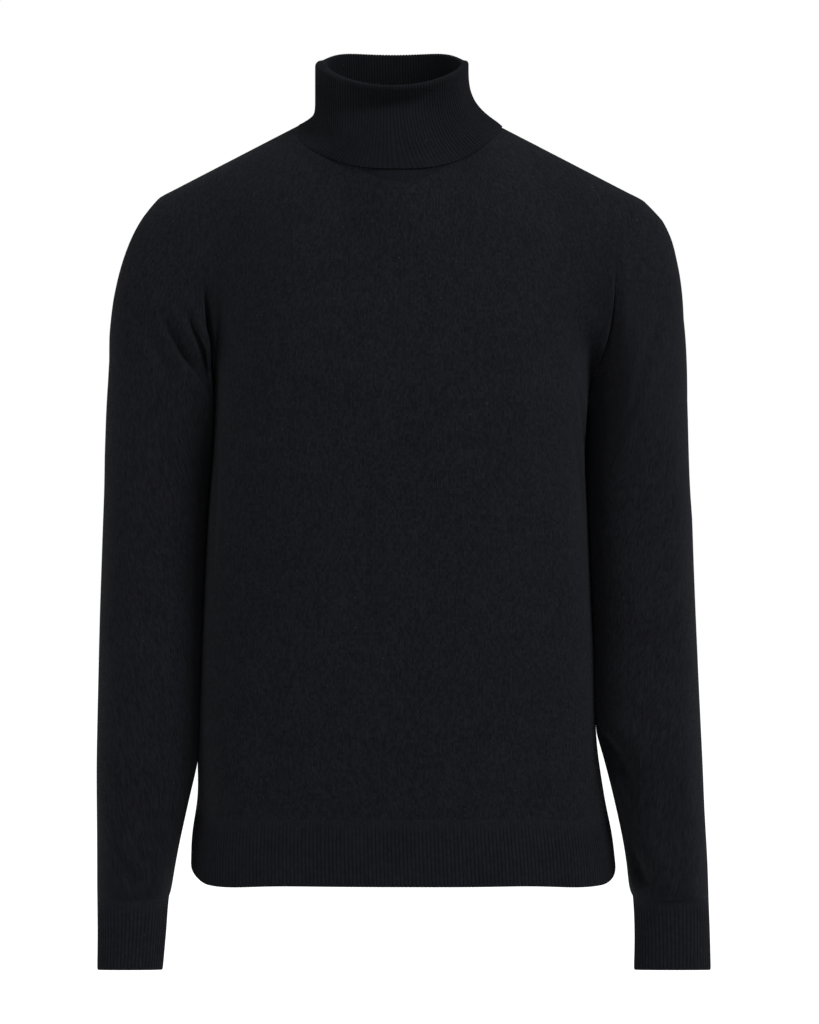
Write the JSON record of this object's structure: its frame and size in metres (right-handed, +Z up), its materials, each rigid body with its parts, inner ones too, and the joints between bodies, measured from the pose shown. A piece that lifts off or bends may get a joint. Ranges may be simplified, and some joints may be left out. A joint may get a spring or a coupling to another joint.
{
  "type": "turtleneck sweater",
  "caption": "Fine-knit turtleneck sweater with set-in long sleeves, ribbed hem and cuffs and a turned-down ribbed collar, in the hollow shape that it keeps when worn.",
  "frame": {"origin": "between the shoulders, just under the collar, where the wearer's shoulders carry the garment", "axes": "+Z up the body, -Y out of the front, +X towards the wearer's left arm"},
  "size_m": [0.5482, 0.233, 0.8222],
  "materials": {
    "plain_knit": "matte fine-gauge jersey",
    "rib_knit": "matte fine one-by-one rib"
  },
  "bodies": {
    "root": {"front_panel": "plain_knit", "back_panel": "plain_knit", "left_sleeve": "plain_knit", "right_sleeve": "plain_knit", "front_hem_rib": "rib_knit", "back_hem_rib": "rib_knit", "left_cuff": "rib_knit", "right_cuff": "rib_knit", "roll_collar": "rib_knit"}
  },
  "joints": []
}
